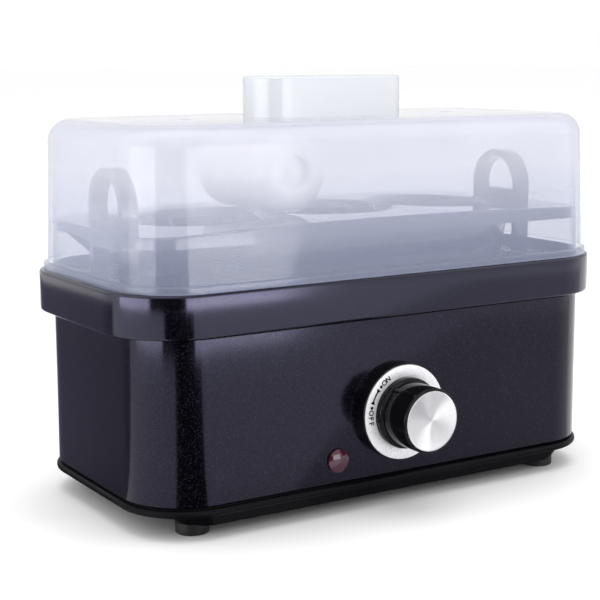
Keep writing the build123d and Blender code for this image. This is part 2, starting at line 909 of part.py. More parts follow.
def switch_tabs():
    places = corners(switch_tab_offset_x, switch_tab_offset_z)
    return [(x, dial_height + z) for x, z in places]


def make_rotary_switch():
    half = switch_size / 2
    low = (-half, front_inner_y, dial_height - half)
    high = (half, switch_back_y(), dial_height + half)
    shape = block(low, high)
    shape += on_axis(front_inner_y, front_inner_y - bushing_length, bushing_radius)
    root = front_inner_y + shaft_root + hole_gap
    shape -= on_axis(root, front_inner_y - bushing_length, shaft_radius + close_gap)
    for x, z in switch_tabs():
        shape += block(
            (x - switch_tab_width / 2, switch_back_y(), z - switch_tab_thickness / 2),
            (x + switch_tab_width / 2, switch_back_y() + switch_tab_length, z + switch_tab_thickness / 2),
        )
    return shape


def make_switch_nut():
    nut = hexagon((0, front_y, dial_height), (0, front_y - nut_thickness, dial_height), nut_flats)
    return nut - on_axis(front_y, front_y - nut_thickness, bushing_radius + close_gap)


# Indicator


def on_lens(near, far, radius):
    return rod((lens_x, near, lens_height), (lens_x, far, lens_height), radius)


def make_indicator_lens():
    sphere_radius = (lens_radius**2 + lens_dome**2) / (2 * lens_dome)
    centre_y = front_y - lens_rim - lens_dome + sphere_radius
    ball = Pos(lens_x, centre_y, lens_height) * Sphere(sphere_radius)
    head = on_lens(front_y, front_y - lens_rim - lens_dome, lens_radius) & ball
    shape = head + on_lens(front_y, front_inner_y + lens_barrel_length, lens_barrel_radius)
    return shape - on_lens(front_inner_y + lens_barrel_length, front_y, lamp_radius + fit_gap)


def make_indicator_lamp():
    """A glow lamp in the lens barrel with a collar that closes the barrel's end."""
    end = front_inner_y + lens_barrel_length
    shape = on_lens(end, end - lamp_length + lamp_radius, lamp_radius)
    shape += Pos(lens_x, end - lamp_length + lamp_radius, lens_height) * Sphere(lamp_radius)
    return shape + on_lens(end, end + clip_thickness, lens_barrel_radius)


def make_lens_clip():
    clip = on_lens(front_inner_y, front_inner_y + clip_thickness, clip_radius)
    return clip - on_lens(front_inner_y, front_inner_y + clip_thickness, lens_barrel_radius + close_gap)


# Cord gland


def on_gland(near, far, radius):
    return rod((gland_x, near, gland_height), (gland_x, far, gland_height), radius)


def make_cord_gland():
    inner_end = rear_inner_y - gland_inner_length
    flange_end = rear_y + gland_flange
    shape = on_gland(inner_end, flange_end, gland_thread_radius)
    shape += on_gland(rear_y, flange_end, gland_flange_radius)
    nose = on_gland(flange_end, gland_end_y, gland_nose_radius)
    shape += fillet(nose.faces().sort_by(Axis.Y)[-1].edges(), gland_nose / 2)
    shape -= on_gland(inner_end, rear_y + fit_gap, gland_throat)
    return shape - on_gland(rear_y, gland_end_y, gland_bore)


def make_gland_nut():
    start = (gland_x, rear_inner_y - gland_nut_thickness, gland_height)
    nut = hexagon(start, (gland_x, rear_inner_y, gland_height), gland_nut_flats)
    bore = on_gland(rear_inner_y - gland_nut_thickness, rear_inner_y, gland_thread_radius + close_gap)
    return nut - bore


# Terminal block and leads


def block_screw_places():
    rows = (-block_depth / 4, block_depth / 4)
    return [(block_x + (index - 1) * block_pitch, block_y + row) for index in range(3) for row in rows]


def make_terminal_block():
    low = (block_x - block_length / 2, block_y - block_depth / 2, floor_z)
    high = (block_x + block_length / 2, block_y + block_depth / 2, floor_z + block_height)
    shape = block(low, high)
    for x, y in block_screw_places():
        shape -= rod((x, y, high[2] - block_screw_depth), (x, y, high[2]), block_screw_radius + hole_gap)
    return shape


def make_terminal_screws():
    low = floor_z + block_height - block_screw_depth
    screws = []
    for x, y in block_screw_places():
        screws.append(rod((x, y, low), (x, y, low + block_screw_head), block_screw_radius))
    return Compound(screws)


def lead(points):
    path = FilletPolyline(*points, radius=lead_bend)
    start = Plane(origin=path @ 0, z_dir=path % 0)
    return sweep(start * Circle(lead_radius), path=path)


def make_internal_leads():
    tab_y = switch_back_y() + switch_tab_length
    upper_z = dial_height + switch_tab_offset_z
    lower_z = dial_height - switch_tab_offset_z
    block_front = block_y - block_depth / 2
    block_mid_z = floor_z + block_height / 2
    tab_x = thermostat_tab_x
    tab_z = spreader_z - thermostat_height - thermostat_tab_length
    pin_x = element_right + element_pin_length
    side_x = pin_x + lead_side_reach
    step = 2 * lead_bend
    switch_to_block = [
        (switch_tab_offset_x, tab_y, upper_z),
        (switch_tab_offset_x, tab_y + step, upper_z),
        (block_x - block_pitch, block_front - step, block_mid_z),
        (block_x - block_pitch, block_front, block_mid_z),
    ]
    switch_to_thermostat = [
        (-switch_tab_offset_x, tab_y, upper_z),
        (-switch_tab_offset_x, tab_y + step, upper_z),
        (-tab_x, -step, tab_z - step),
        (-tab_x, 0, tab_z - step),
        (-tab_x, 0, tab_z),
    ]
    thermostat_to_block = [
        (tab_x, 0, tab_z),
        (tab_x, 0, tab_z - step),
        (block_x, block_front - step, block_mid_z),
        (block_x, block_front, block_mid_z),
    ]
    rear_pin_to_block = [
        (pin_x, element_bend, element_z),
        (side_x, element_bend, element_z),
        (side_x, block_y, block_mid_z),
        (block_x + block_length / 2, block_y, block_mid_z),
    ]
    front_pin_to_block = [
        (pin_x, -element_bend, element_z),
        (side_x, -element_bend, element_z),
        (side_x, -element_bend, block_mid_z + step),
        (block_x + block_pitch, block_front - 2 * step, block_mid_z),
        (block_x + block_pitch, block_front, block_mid_z),
    ]
    lamp_end = front_inner_y + lens_barrel_length + clip_thickness
    lamp_to_switch = [
        (lens_x, lamp_end, lens_height),
        (lens_x, tab_y + step, lens_height),
        (-switch_tab_offset_x, tab_y + step, lower_z),
        (-switch_tab_offset_x, tab_y, lower_z),
    ]
    routes = [
        switch_to_block,
        switch_to_thermostat,
        thermostat_to_block,
        rear_pin_to_block,
        front_pin_to_block,
        lamp_to_switch,
    ]
    return Compound([lead(route) for route in routes])


pieces = {
    "outer_housing": make_outer_housing(),
    "rim_band": make_rim_band(),
    "base_plate": make_base_plate(),
    "foot_front_left": make_foot(-foot_x, -foot_y),
    "foot_front_right": make_foot(foot_x, -foot_y),
    "foot_rear_left": make_foot(-foot_x, foot_y),
    "foot_rear_right": make_foot(foot_x, foot_y),
    "base_screws": make_base_screws(),
    "heating_pan": make_heating_pan(),
    "pan_gasket": make_pan_gasket(),
    "heat_spreader": make_heat_spreader(),
    "heating_element": make_heating_element(),
    "element_clamps": make_element_clamps(),
    "clamp_screws": make_clamp_screws(),
    "thermostat": make_thermostat(),
    "thermostat_screws": make_thermostat_screws(),
    "fuse_clip": make_fuse_clip(),
    "thermal_fuse": make_thermal_fuse(),
    "pan_studs": make_pan_studs(),
    "bridge_straps": make_bridge_straps(),
    "stud_nuts": make_stud_nuts(),
    "shield_spacers": make_shield_spacers(),
    "heat_shield": make_heat_shield(),
    "rotary_switch": make_rotary_switch(),
    "switch_nut": make_switch_nut(),
    "dial_base": make_dial_base(),
    "dial_ring": make_dial_ring(),
    "indicator_lens": make_indicator_lens(),
    "indicator_lamp": make_indicator_lamp(),
    "lens_clip": make_lens_clip(),
    "cord_gland": make_cord_gland(),
    "gland_nut": make_gland_nut(),
    "terminal_block": make_terminal_block(),
    "terminal_screws": make_terminal_screws(),
    "internal_leads": make_internal_leads(),
    "knob": make_knob(),
    "knob_cap": make_knob_cap(),
    "switch_shaft": make_switch_shaft(),
    "egg_tray": make_egg_tray(),
    "tray_handle_left": make_tray_handle(-1),
    "tray_handle_right": make_tray_handle(1),
    "measuring_cup": make_measuring_cup(),
    "pricking_pin": make_pricking_pin(),
    "lid_shell": make_lid_shell(),
    "lid_handle": make_lid_handle(),
    "lid_screws": make_lid_screws(),
}

os.makedirs("parts", exist_ok=True)
for name, shape in pieces.items():
    export_step(Pos(0, depth_shift, 0) * shape, f"parts/{name}.step")
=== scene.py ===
import json
import math

import bpy
from mathutils import Matrix, Vector


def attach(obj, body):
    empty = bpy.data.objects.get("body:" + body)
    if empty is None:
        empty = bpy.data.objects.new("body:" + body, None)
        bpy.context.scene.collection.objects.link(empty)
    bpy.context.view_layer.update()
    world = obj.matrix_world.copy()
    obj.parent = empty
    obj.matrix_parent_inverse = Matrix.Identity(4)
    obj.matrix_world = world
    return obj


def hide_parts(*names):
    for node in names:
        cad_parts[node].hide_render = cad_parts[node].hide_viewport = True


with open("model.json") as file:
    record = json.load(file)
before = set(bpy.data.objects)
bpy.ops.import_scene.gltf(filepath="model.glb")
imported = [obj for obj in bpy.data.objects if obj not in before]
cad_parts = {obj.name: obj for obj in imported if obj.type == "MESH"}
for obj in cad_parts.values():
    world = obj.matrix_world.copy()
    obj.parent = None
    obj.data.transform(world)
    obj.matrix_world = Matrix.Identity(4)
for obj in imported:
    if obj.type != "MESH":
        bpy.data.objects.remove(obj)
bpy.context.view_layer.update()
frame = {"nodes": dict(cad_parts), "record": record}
nodes = frame["nodes"]

# Sizes of the pieces modelled here, in metres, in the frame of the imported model
middle_y = 0.00815
corner_steps = 16
round_steps = 96
edge_steps = 6
ring_hair = 0.00002
hole_steps = 48
drill_over = 0.001
weld_reach = 0.000002
flat_angle = 0.3

body = (0.10025, 0.05075, 0.024)
body_low = 0.0120
body_high = 0.0712
body_wall = 0.0025
body_edge = 0.0006

band = (0.10625, 0.0524, 0.027)
band_high = 0.0866
band_edge = 0.0012
recess = (0.09825, 0.0469, 0.020)
bead_wall = 0.0017
bead_rise = 0.0020
bead_edge = 0.0005
ledge = (0.08805, 0.0425, 0.0156)
ledge_high = 0.0820

lid = (0.1026, 0.0510, 0.0245)
lid_draft = 0.0019
lid_high = 0.1423
lid_wall = 0.0020
lid_rounding = 0.0080
lid_steps = 10
lip_reach = 0.0014
lip_height = 0.0025
lip_edge = 0.0004
vent_x = 0.060
vent_radius = 0.0025
peg_x = 0.018
peg_radius = 0.0033

grip_half = 0.0335
grip_radius = 0.0125
grip_high = 0.1575
grip_edge = 0.0010
grip_wall = 0.0022

axis_z = 0.0359
dial_y = -0.0468
ring_y = -0.0474
knob_back = -0.0479
knob_front = -0.0635
cap_front = -0.0639
ring_outer = 0.0176
ring_inner = 0.0130
ring_edge = 0.0002
ring_steps = 3
knob_radius = 0.0120
knob_hole = 0.0030
knob_edge = 0.0007
skirt_radius = 0.0132
skirt_height = 0.0024
skirt_edge = 0.0008
skirt_groove = 0.0002
pointer_angle = 125.0
pointer_depth = 0.0020
pointer_width = 0.0016
pointer_short = 0.0012
pointer_edge = 0.0003
pointer_sink = 0.0005
cap_radius = 0.0110
cap_thick = 0.0008
cap_seat = 0.0004
cap_play = 0.00005
cap_edge = 0.0002
cap_steps = 4
cap_rim = 0.0006
cap_rim_drop = 0.00012
cap_centre = 0.0006
cap_dish = 0.0003
lens_place = (-0.0264, -0.0426, 0.0205)
lens_radius = 0.00435
lens_rim = 0.0008
lens_dome = 0.0012
lens_steps = 12

mark_radius = 0.0153
mark_rise = 0.00003
letter_size = 0.0027
letter_weight = 0.00008
letter_start = 7.0
letter_step = 7.5
dot_radius = 0.0006
dot_sides = 24
arrow_width = 0.0004
arrow_head = 0.0011
arrow_step = 2.2
arrow_dashes = 3
dash_stretch = 3.2
on_angle = 135.0
off_angle = 167.0


# Modelling helpers


def leave_edit_mode():
    if bpy.context.object and bpy.context.object.mode != "OBJECT":
        bpy.ops.object.mode_set(mode="OBJECT")
    bpy.ops.object.select_all(action="DESELECT")


def new_piece(name):
    """An empty mesh in edit mode, to which rings are added."""
    leave_edit_mode()
    bpy.ops.mesh.primitive_plane_add()
    piece = bpy.context.object
    piece.name = name
    piece.data.name = name
    bpy.ops.object.mode_set(mode="EDIT")
    bpy.ops.mesh.select_all(action="SELECT")
    bpy.ops.mesh.delete(type="VERT")
    bpy.ops.mesh.select_mode(type="EDGE")
    return piece


def rounded_ring(outline, height):
    """Adds a rectangle with round corners, lying at a height."""
    half_x, half_y, corner = outline
    centre = (0, middle_y, height)
    bpy.ops.mesh.select_all(action="DESELECT")
    bpy.ops.mesh.primitive_plane_add(size=2, location=centre)
    bpy.ops.transform.resize(value=(half_x, half_y, 1), center_override=centre)
    bpy.ops.mesh.bevel(offset=corner, segments=corner_steps, profile=0.5, affect="VERTICES")
    bpy.ops.mesh.delete(type="ONLY_FACE")


def circle_ring(radius, height):
    bpy.ops.mesh.select_all(action="DESELECT")
    bpy.ops.mesh.primitive_circle_add(vertices=round_steps, radius=radius, location=(0, 0, height))


def add_rings(make_ring, rings, closed):
    """Adds rings in turn, raising one at its neighbour's height a hair, so that the two bridge straight."""
    previous = rings[-1][1] if closed else None
    for form, height in rings:
        if previous is not None and abs(height - previous) < ring_hair / 2:
            height += ring_hair
        make_ring(form, height)
        previous = height


def select_edges(piece, wanted):
    """Selects the edges whose two vertices, given by their numbers, are wanted together."""
    bpy.ops.object.mode_set(mode="OBJECT")
    for vertex in piece.data.vertices:
        vertex.select = False
    for face in piece.data.polygons:
        face.select = False
    for edge in piece.data.edges:
        edge.select = wanted(*edge.vertices)
    bpy.ops.object.mode_set(mode="EDIT")


def select_rings(piece, size, rings):
    """Selects whole rings, each a run of size vertices in the order in which they were added."""
    select_edges(piece, lambda first, second: first // size == second // size and first // size in rings)


def join_rings(piece, count, closed):
    """Bridges each ring to the next one, and closes the form end to end or with two flat faces."""
    bpy.ops.object.mode_set(mode="OBJECT")
    size = len(piece.data.vertices) // count
    bpy.ops.object.mode_set(mode="EDIT")
    last = count if closed else count - 1
    for index in range(last):
        select_rings(piece, size, (index, (index + 1) % count))
        bpy.ops.mesh.bridge_edge_loops()
    if not closed:
        for index in (0, count - 1):
            select_rings(piece, size, (index,))
            bpy.ops.mesh.edge_face_add()


def finish_form(piece, angle):
    bpy.ops.object.mode_set(mode="EDIT")
    bpy.ops.mesh.select_all(action="SELECT")
    bpy.ops.mesh.normals_make_consistent(inside=False)
    bpy.ops.object.mode_set(mode="OBJECT")
    bpy.ops.object.shade_smooth_by_angle(angle=math.radians(angle))


def lofted(name, rings, closed=False, angle=40):
    piece = new_piece(name)
    add_rings(rounded_ring, rings, closed)
    join_rings(piece, len(rings), closed)
    finish_form(piece, angle)
    return piece


def lofted_cup(name, outside, inside, mouth):
    """An open box: its outside from the mouth up, its inside back down to the mouth."""
    piece = new_piece(name)
    rings = list(reversed(outside)) + [mouth] + inside
    add_rings(rounded_ring, rings, False)
    join_rings(piece, len(rings), False)
    finish_form(piece, 40)
    return piece


def turned(name, profile, place, closed=False, angle=40):
    """A form turned about the front to back axis. The profile gives radius and distance to the front."""
    piece = new_piece(name)
    add_rings(circle_ring, profile, closed)
    join_rings(piece, len(profile), closed)
    bpy.ops.mesh.select_all(action="SELECT")
    face_front()
    bpy.ops.transform.translate(value=place)
    finish_form(piece, angle)
    return piece


def face_front():
    """Turns what is selected, so that what pointed up points to the front."""
    bpy.ops.transform.rotate(value=-math.pi / 2, orient_axis="X", center_override=(0, 0, 0))


def grown(outline, by):
    half_x, half_y, corner = outline
    return (half_x + by, half_y + by, corner + by)


def quarter(radius, steps=edge_steps):
    """Steps of a rounded edge from a wall to a flat face, as inset and distance below the face."""
    turns = [math.pi / 2 * step / steps for step in range(steps + 1)]
    return [(radius * (1 - math.cos(turn)), radius * (1 - math.sin(turn))) for turn in turns]


def smooth_copy(node, body_name, slot, angle=35):
    """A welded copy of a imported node, with whole flat faces and even shading, which stands for it."""
    leave_edit_mode()
    source = nodes[node]
    source.select_set(True)
    bpy.context.view_layer.objects.active = source
    bpy.ops.object.duplicate()
    piece = bpy.context.object
    piece.name = node + "_finish"
    bpy.ops.object.mode_set(mode="EDIT")
    bpy.ops.mesh.select_all(action="SELECT")
    bpy.ops.mesh.remove_doubles(threshold=weld_reach)
    bpy.ops.mesh.dissolve_limited(angle_limit=math.radians(flat_angle))
    bpy.ops.mesh.normals_make_consistent(inside=False)
    bpy.ops.object.mode_set(mode="OBJECT")
    bpy.ops.object.shade_smooth_by_angle(angle=math.radians(angle))
    even = piece.modifiers.new("even_shading", "WEIGHTED_NORMAL")
    even.keep_sharp = True
    even.weight = 100
    bpy.ops.object.modifier_apply(modifier=even.name)
    settle(piece, body_name, slot, node)
    return piece


def settle(piece, body_name, slot, *replaced):
    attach(piece, body_name)
    if replaced:
        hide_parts(*replaced)
    paint(piece, finishes[slot])


def pass_light(piece):
    """Milky plastic passes light on, so it neither throws a shadow nor holds light back."""
    piece.visible_shadow = False
    piece.visible_diffuse = False


def paint(piece, finish):
    piece.data.materials.clear()
    piece.data.materials.append(finish)


def cut_round_holes(piece, half_gap, radius, low, high):
    """Drills an upright hole to each side of the middle, with cylinders that are removed again."""
    for x in (-half_gap, half_gap):
        leave_edit_mode()
        bpy.ops.mesh.primitive_cylinder_add(
            vertices=hole_steps, radius=radius, depth=high - low, location=(x, middle_y, (low + high) / 2)
        )
        drill = bpy.context.object
        leave_edit_mode()
        piece.select_set(True)
        bpy.context.view_layer.objects.active = piece
        cut = piece.modifiers.new("drill", "BOOLEAN")
        cut.object = drill
        cut.operation = "DIFFERENCE"
        cut.solver = "EXACT"
        bpy.ops.object.modifier_apply(modifier=cut.name)
        bpy.data.objects.remove(drill, do_unlink=True)


# Materials

flake_scale = 2600.0
coarse_relief = 0.0001
fine_relief = 0.00005
slant_start = 0.5
slant_opacity = 0.85
slant_shade = 0.65


def start_material(name, colour, roughness):
    finish = bpy.data.materials.new(name)
    finish.use_nodes = True
    shader = finish.node_tree.nodes["Principled BSDF"]
    shader.inputs["Base Color"].default_value = (*colour, 1)
    shader.inputs["Roughness"].default_value = roughness
    return finish, finish.node_tree, shader


def object_place(tree, scale=(1, 1, 1)):
    """Object coordinates in metres, stretched where scale isn't even."""
    where = tree.nodes.new("ShaderNodeTexCoord")
    mapping = tree.nodes.new("ShaderNodeMapping")
    mapping.inputs["Scale"].default_value = scale
    tree.links.new(where.outputs["Object"], mapping.inputs["Vector"])
    return mapping.outputs["Vector"]


def noise(tree, place, scale, detail=3.0):
    texture = tree.nodes.new("ShaderNodeTexNoise")
    texture.inputs["Scale"].default_value = scale
    texture.inputs["Detail"].default_value = detail
    tree.links.new(place, texture.inputs["Vector"])
    return texture.outputs["Fac"]


def spread(tree, value, low, high, low_value=0.35, high_value=0.65):
    """Maps a texture value to a range of plain numbers."""
    span = tree.nodes.new("ShaderNodeMapRange")
    span.inputs["From Min"].default_value = low_value
    span.inputs["From Max"].default_value = high_value
    span.inputs["To Min"].default_value = low
    span.inputs["To Max"].default_value = high
    tree.links.new(value, span.inputs["Value"])
    return span.outputs["Result"]


def blend_colours(tree, value, low, high):
    mix = tree.nodes.new("ShaderNodeMix")
    mix.data_type = "RGBA"
    mix.inputs["A"].default_value = (*low, 1)
    mix.inputs["B"].default_value = (*high, 1)
    tree.links.new(value, mix.inputs["Factor"])
    return mix.outputs["Result"]


def bump(tree, shader, value, strength, distance):
    node = tree.nodes.new("ShaderNodeBump")
    node.inputs["Strength"].default_value = strength
    node.inputs["Distance"].default_value = distance
    tree.links.new(value, node.inputs["Height"])
    tree.links.new(node.outputs["Normal"], shader.inputs["Normal"])


def moulded(name, colour, roughness, grain=1800.0, depth=0.12, tone=0.15, coat=0.0):
    """Moulded plastic or rubber: fine grain, slight change of tone and of gloss."""
    finish, tree, shader = start_material(name, colour, roughness)
    shader.inputs["Coat Weight"].default_value = coat
    place = object_place(tree)
    fine = noise(tree, place, grain, 2.0)
    broad = noise(tree, place, 60.0, 4.0)
    darker = tuple(c * (1 - tone) for c in colour)
    lighter = tuple(min(1, c * (1 + tone)) for c in colour)
    shade = blend_colours(tree, spread(tree, broad, 0, 1), darker, lighter)
    tree.links.new(shade, shader.inputs["Base Color"])
    tree.links.new(spread(tree, broad, roughness * 0.9, roughness * 1.1), shader.inputs["Roughness"])
    bump(tree, shader, fine, depth, coarse_relief)
    return finish


def metal(name, colour, roughness, stretch=(1, 1, 1), scale=900.0, depth=0.05):
    """Metal with fine marks, drawn out along an axis where stretch is small."""
    finish, tree, shader = start_material(name, colour, roughness)
    shader.inputs["Metallic"].default_value = 1.0
    marks = noise(tree, object_place(tree, stretch), scale, 3.0)
    darker = tuple(c * 0.9 for c in colour)
    lighter = tuple(min(1, c * 1.06) for c in colour)
    shade = blend_colours(tree, spread(tree, marks, 0, 1), darker, lighter)
    tree.links.new(shade, shader.inputs["Base Color"])
    tree.links.new(spread(tree, marks, roughness * 0.75, roughness * 1.25), shader.inputs["Roughness"])
    bump(tree, shader, marks, depth, fine_relief)
    return finish


def flake_tones(tree, place):
    """Tones of fine flakes by chance, as separate channels."""
    flakes = tree.nodes.new("ShaderNodeTexVoronoi")
    flakes.inputs["Scale"].default_value = flake_scale
    tree.links.new(place, flakes.inputs["Vector"])
    tones = tree.nodes.new("ShaderNodeSeparateColor")
    tree.links.new(flakes.outputs["Color"], tones.inputs["Color"])
    return tones.outputs


def sparkling_black(name, gloss):
    """Blue-black lacquer with fine flakes just lighter than it."""
    finish, tree, shader = start_material(name, (0.002, 0.0018, 0.003), 0.13)
    shader.inputs["Specular IOR Level"].default_value = gloss
    shader.inputs["Specular Tint"].default_value = (0.68, 0.66, 1.0, 1)
    place = object_place(tree)
    tones = flake_tones(tree, place)
    shown = spread(tree, tones["Red"], 0, 1, 0.7, 1.0)
    lacquer = (0.0015, 0.0013, 0.0023)
    flake = (0.012, 0.011, 0.018)
    tree.links.new(blend_colours(tree, shown, lacquer, flake), shader.inputs["Base Color"])
    tree.links.new(spread(tree, tones["Green"], 0.10, 0.17, 0, 1), shader.inputs["Roughness"])
    bump(tree, shader, noise(tree, place, 1500.0, 2.0), 0.05, fine_relief)
    return finish


def glossy_black(name, roughness, gloss):
    finish, tree, shader = start_material(name, (0.004, 0.0038, 0.0052), roughness)
    shader.inputs["Specular IOR Level"].default_value = gloss
    place = object_place(tree)
    broad = noise(tree, place, 45.0, 4.0)
    tree.links.new(spread(tree, broad, roughness * 0.8, roughness * 1.3), shader.inputs["Roughness"])
    darker = (0.0036, 0.0034, 0.0046)
    lighter = (0.0046, 0.0044, 0.0060)
    shade = blend_colours(tree, spread(tree, broad, 0, 1), darker, lighter)
    tree.links.new(shade, shader.inputs["Base Color"])
    bump(tree, shader, noise(tree, place, 120.0, 2.0), 0.02, coarse_relief)
    return finish


def milky(name, roughness, low, high):
    """Clear plastic with a milky haze, whose opacity and colour change upwards, lighter and more opaque
    towards the top, and which thickens and darkens where a wall is seen at a slant.

    Low and high give a height, its opacity and its colour.
    """
    finish, tree, shader = start_material(name, high[2], roughness)
    place = object_place(tree)
    axes = tree.nodes.new("ShaderNodeSeparateXYZ")
    tree.links.new(place, axes.inputs["Vector"])
    rise = spread(tree, axes.outputs["Z"], 0, 1, low[0], high[0])
    haze = spread(tree, rise, low[1], high[1], 0, 1)
    slant = tree.nodes.new("ShaderNodeLayerWeight")
    depth = spread(tree, slant.outputs["Facing"], 0, 1, slant_start, 1.0)
    thicker = tree.nodes.new("ShaderNodeMix")
    tree.links.new(depth, thicker.inputs["Factor"])
    tree.links.new(haze, thicker.inputs["A"])
    thicker.inputs["B"].default_value = slant_opacity
    tree.links.new(thicker.outputs["Result"], shader.inputs["Alpha"])
    shaded = blend_colours(tree, depth, (1, 1, 1), (slant_shade, slant_shade, slant_shade))
    colour = tree.nodes.new("ShaderNodeMix")
    colour.data_type = "RGBA"
    colour.blend_type = "MULTIPLY"
    colour.inputs["Factor"].default_value = 1.0
    tree.links.new(blend_colours(tree, rise, low[2], high[2]), colour.inputs["A"])
    tree.links.new(shaded, colour.inputs["B"])
    tree.links.new(colour.outputs["Result"], shader.inputs["Base Color"])
    broad = noise(tree, place, 35.0, 3.0)
    tree.links.new(spread(tree, broad, roughness * 0.85, roughness * 1.2), shader.inputs["Roughness"])
    bump(tree, shader, noise(tree, place, 1400.0, 2.0), 0.03, fine_relief)
    return finish


def vector_step(tree, operation, first, second=(0, 0, 0)):
    step = tree.nodes.new("ShaderNodeVectorMath")
    step.operation = operation
    step.inputs[1].default_value = second
    tree.links.new(first, step.inputs[0])
    return step.outputs


def spun_silver(name):
    """Turned face of the knob: fine circles, and a radial sheen from the way they were cut."""
    finish, tree, shader = start_material(name, (0.80, 0.80, 0.82), 0.5)
    shader.inputs["Metallic"].default_value = 1.0
    shader.inputs["Anisotropic"].default_value = 1.0
    from_axis = vector_step(tree, "SUBTRACT", object_place(tree), (0, 0, axis_z))["Vector"]
    flat = vector_step(tree, "MULTIPLY", from_axis, (1, 0, 1))["Vector"]
    reach = vector_step(tree, "LENGTH", flat)["Value"]
    circles = tree.nodes.new("ShaderNodeTexNoise")
    circles.noise_dimensions = "1D"
    circles.inputs["Scale"].default_value = 9000.0
    circles.inputs["Detail"].default_value = 2.0
    tree.links.new(reach, circles.inputs["W"])
    darker = (0.70, 0.70, 0.72)
    lighter = (0.86, 0.86, 0.88)
    shade = blend_colours(tree, spread(tree, circles.outputs["Fac"], 0, 1), darker, lighter)
    tree.links.new(shade, shader.inputs["Base Color"])
    along = vector_step(tree, "CROSS_PRODUCT", flat, (0, 1, 0))["Vector"]
    tree.links.new(along, shader.inputs["Tangent"])
    return finish


def sparkling_silver(name):
    """Silver paint with fine flakes."""
    finish, tree, shader = start_material(name, (0.84, 0.84, 0.87), 0.45)
    shader.inputs["Metallic"].default_value = 0.3
    tones = flake_tones(tree, object_place(tree))
    darker = (0.74, 0.74, 0.77)
    lighter = (0.92, 0.92, 0.95)
    tree.links.new(blend_colours(tree, tones["Red"], darker, lighter), shader.inputs["Base Color"])
    tree.links.new(spread(tree, tones["Green"], 0.36, 0.52, 0, 1), shader.inputs["Roughness"])
    return finish


def deep_lens(name):
    """Dark red plastic, darker towards its rim."""
    finish, tree, shader = start_material(name, (0.050, 0.008, 0.020), 0.1)
    shader.inputs["Coat Weight"].default_value = 0.4
    edge = tree.nodes.new("ShaderNodeLayerWeight")
    edge.inputs["Blend"].default_value = 0.3
    broad = noise(tree, object_place(tree), 90.0, 2.0)
    middle = (0.060, 0.009, 0.024)
    rim = (0.012, 0.003, 0.007)
    tree.links.new(blend_colours(tree, edge.outputs["Facing"], middle, rim), shader.inputs["Base Color"])
    tree.links.new(spread(tree, broad, 0.08, 0.12), shader.inputs["Roughness"])
    return finish


# Haze of the lid and its grip: a height, its opacity and its colour
haze_low = (0.095, 0.27, (0.41, 0.455, 0.625))
haze_high = (0.125, 0.44, (0.64, 0.653, 0.76))
grip_foot_haze = (lid_high, 0.7, (0.69, 0.71, 0.76))
grip_haze = (grip_high, 0.8, (0.69, 0.71, 0.76))
finishes = {
    "housing_black": sparkling_black("housing_black", 0.36),
    "band_black": sparkling_black("band_black", 0.6),
    "base_black": glossy_black("base_black", 0.4, 0.06),
    "foot_rubber": moulded("foot_rubber", (0.006, 0.006, 0.007), 0.6, 1200.0, 0.3),
    "steel": metal("steel", (0.80, 0.80, 0.81), 0.3),
    "pan_steel": metal("pan_steel", (0.66, 0.66, 0.67), 0.3, (0.02, 1, 1), 2600.0, 0.02),
    "silicone": moulded("silicone", (0.50, 0.50, 0.50), 0.55),
    "aluminium_plain": metal("aluminium_plain", (0.75, 0.75, 0.76), 0.38),
    "element_steel": metal("element_steel", (0.30, 0.29, 0.27), 0.45),
    "phenolic": moulded("phenolic", (0.030, 0.022, 0.018), 0.5),
    "fuse_white": moulded("fuse_white", (0.72, 0.71, 0.67), 0.5),
    "brass_plain": metal("brass_plain", (0.70, 0.52, 0.24), 0.32),
    "dial_black": glossy_black("dial_black", 0.2, 0.35),
    "ring_silver": sparkling_silver("ring_silver"),
    "knob_black": glossy_black("knob_black", 0.13, 0.15),
    "cap_silver": spun_silver("cap_silver"),
    "lens_maroon": deep_lens("lens_maroon"),
    "lamp_glass": moulded("lamp_glass", (0.75, 0.55, 0.42), 0.1),
    "gland_black": moulded("gland_black", (0.016, 0.016, 0.017), 0.5),
    "block_white": moulded("block_white", (0.70, 0.69, 0.66), 0.45),
    "lead_sleeve": moulded("lead_sleeve", (0.60, 0.59, 0.56), 0.6, 2600.0, 0.4),
    "tray_black": moulded("tray_black", (0.012, 0.014, 0.034), 0.08, depth=0.004, coat=1.0),
    "cup_white": moulded("cup_white", (0.62, 0.625, 0.65), 0.25, depth=0.01, tone=0.02),
    "lid_frosted": milky("lid_frosted", 0.06, haze_low, haze_high),
    "grip_white": milky("grip_white", 0.2, grip_foot_haze, grip_haze),
}


# Housing sleeve and rim band


def make_housing_sleeve():
    inner = grown(body, -body_wall)
    rings = [(grown(body, -inset), body_low + drop) for inset, drop in reversed(quarter(body_edge))]
    rings += [(grown(body, -inset), body_high - drop) for inset, drop in quarter(body_edge)]
    rings += [(inner, body_high), (inner, body_low)]
    settle(lofted("housing_sleeve", rings, closed=True), "housing", "housing_black", "outer_housing")


def make_rim_band():
    bead = grown(recess, bead_wall)
    bead_high = band_high + bead_rise
    rings = [(grown(band, -inset), body_high + drop) for inset, drop in reversed(quarter(band_edge))]
    rings += [(grown(band, -inset), band_high - drop) for inset, drop in quarter(band_edge)]
    rings.append((bead, band_high))
    rings += [(grown(bead, -inset), bead_high - drop) for inset, drop in quarter(bead_edge)]
    rings += [(grown(recess, inset), bead_high - drop) for inset, drop in reversed(quarter(bead_edge))]
    rings += [(recess, ledge_high), (ledge, ledge_high), (ledge, body_high)]
    settle(lofted("rim_band_gloss", rings, closed=True), "housing", "band_black", "rim_band")


# Lid and its grip


def lid_outline(inset, height):
    """The lid's box narrows from its lip to its top."""
    share = (height - band_high) / (lid_high - band_high)
    return grown(lid, -lid_draft * share - inset)


